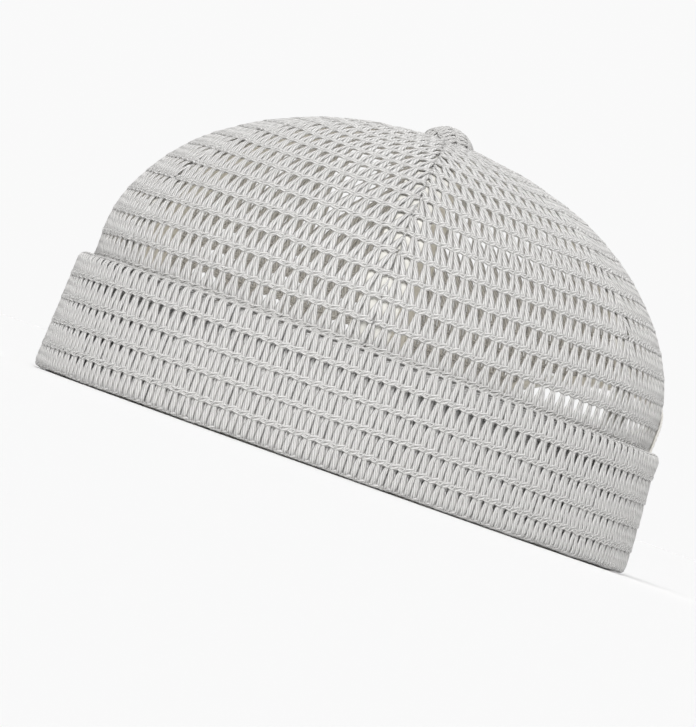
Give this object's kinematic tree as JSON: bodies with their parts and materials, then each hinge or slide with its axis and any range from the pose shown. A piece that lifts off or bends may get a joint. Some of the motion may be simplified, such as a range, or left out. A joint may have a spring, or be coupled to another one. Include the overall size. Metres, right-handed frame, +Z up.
{
  "type": "skull cap",
  "caption": "Brimless skull cap of open knitted mesh with a gored crown, covered button, turned-up cuff, sweatband and a back arch closed by a webbing strap.",
  "frame": {"origin": "centre of the bounding box in plan, at the plane that the rim stands on", "axes": "+Z up from the rim to the button, -Y to the front of the cap, +Y to the strap at the back, +X to the wearer's left"},
  "size_m": [0.1818, 0.2086, 0.1179],
  "materials": {
    "knit_mesh": "light warm grey open knitted mesh of slightly shiny plied yarn",
    "cotton_tape": "cream cotton tape",
    "sweatband_cloth": "beige brushed cotton, sewn with brown thread",
    "webbing": "black ribbed webbing",
    "slider_plastic": "satin near-black moulded plastic"
  },
  "bodies": {
    "root": {"crown_panel_1": "knit_mesh", "crown_panel_2": "knit_mesh", "crown_panel_3": "knit_mesh", "crown_panel_4": "knit_mesh", "crown_panel_5": "knit_mesh", "crown_panel_6": "knit_mesh", "seam_tape_1": "cotton_tape", "seam_tape_2": "cotton_tape", "seam_tape_3": "cotton_tape", "seam_tape_4": "cotton_tape", "seam_tape_5": "cotton_tape", "seam_tape_6": "cotton_tape", "button": "knit_mesh", "cuff": "knit_mesh", "sweatband": "sweatband_cloth", "arch_binding": "cotton_tape", "strap_fixed": "webbing", "strap_running": "webbing", "slider": "slider_plastic"}
  },
  "joints": []
}
